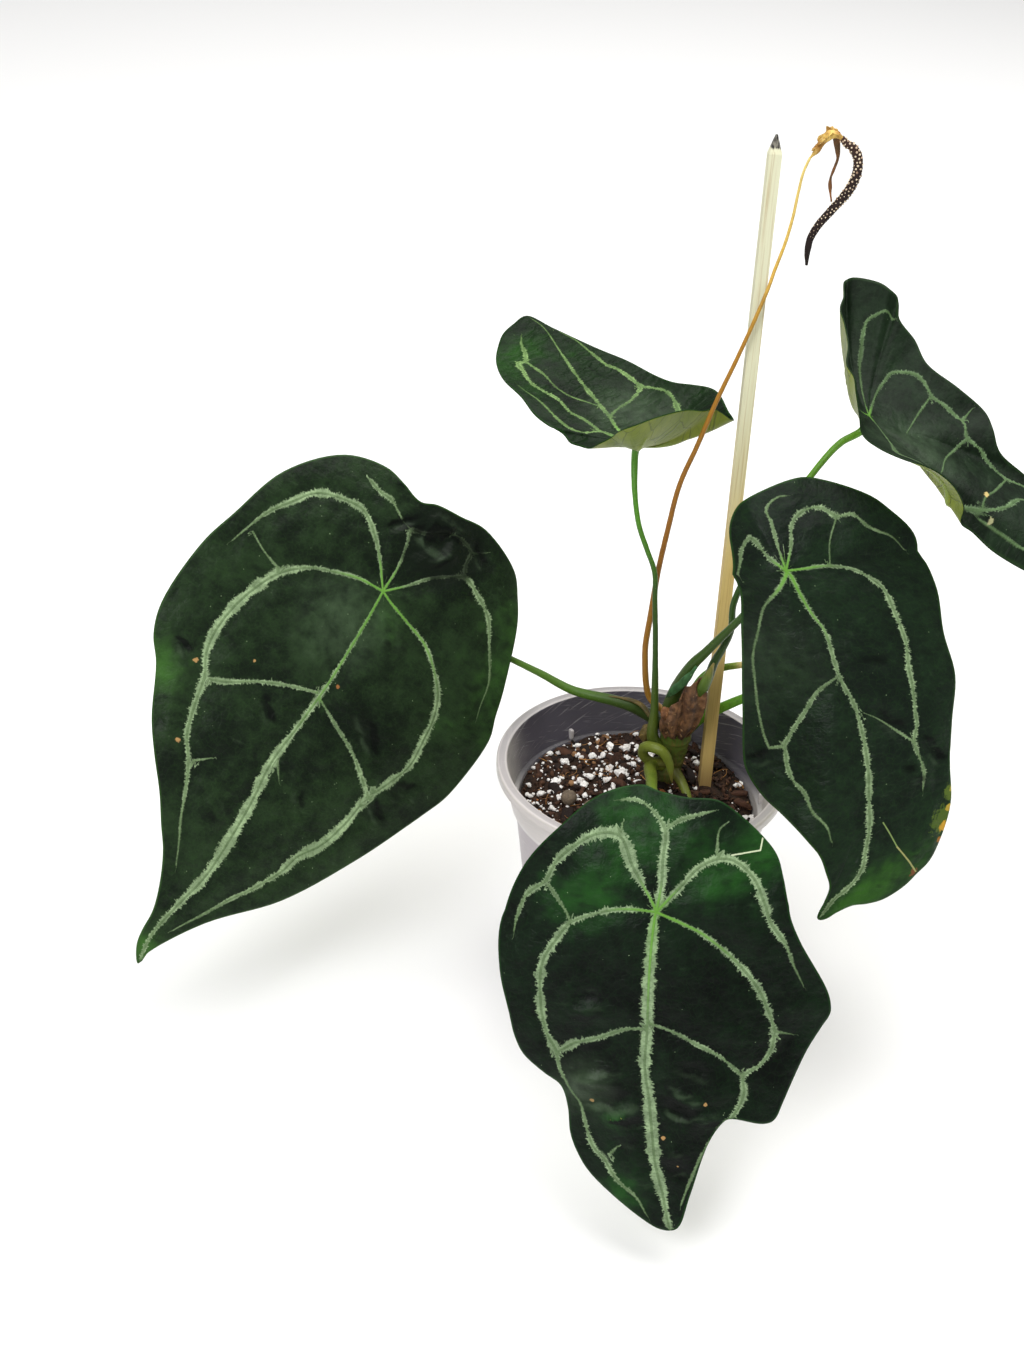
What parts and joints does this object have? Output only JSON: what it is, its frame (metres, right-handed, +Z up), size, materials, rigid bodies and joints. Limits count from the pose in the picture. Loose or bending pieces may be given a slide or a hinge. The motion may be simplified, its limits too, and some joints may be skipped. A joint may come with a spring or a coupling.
{
  "type": "potted dark forgetii anthurium",
  "caption": "Dark forgetii anthurium with silver-veined shield leaves on long stalks, a withered flower and a wooden stake, in a frosted clear nursery pot.",
  "frame": {"origin": "centre of the pot's underside", "axes": "+Z up, +Y away from the viewer of the picture, +X to the viewer's right"},
  "size_m": [0.3797, 0.3093, 0.3567],
  "materials": {
    "pot_plastic": "frosted, scuffed",
    "potting_mix": "loose bark, coir and white perlite",
    "stake_wood": "sawn, unfinished, weathered tip",
    "crown_skin": "satin green to yellow-green",
    "dry_sheath": "dry, fibrous",
    "petiole_skin": "satin",
    "leaf_blade": "velvety satin with pale silver veins",
    "flower_stalk": "satin, drying",
    "dry_spathe": "crumpled, dry",
    "spadix": "matte, beaded"
  },
  "bodies": {
    "root": {"pot": "pot_plastic", "potting_mix": "potting_mix", "stake": "stake_wood", "crown": "crown_skin", "crown_sheath": "dry_sheath", "young_sheath": "petiole_skin", "petiole_left": "petiole_skin", "petiole_front": "petiole_skin", "petiole_right": "petiole_skin", "petiole_top": "petiole_skin", "petiole_upper_right": "petiole_skin", "petiole_stub_green": "petiole_skin", "petiole_stub_dry": "dry_sheath", "blade_left": "leaf_blade", "blade_front": "leaf_blade", "blade_right": "leaf_blade", "blade_top": "leaf_blade", "blade_upper_right": "leaf_blade", "flower_stalk": "flower_stalk", "spathe": "dry_spathe", "spadix": "spadix"}
  },
  "joints": []
}
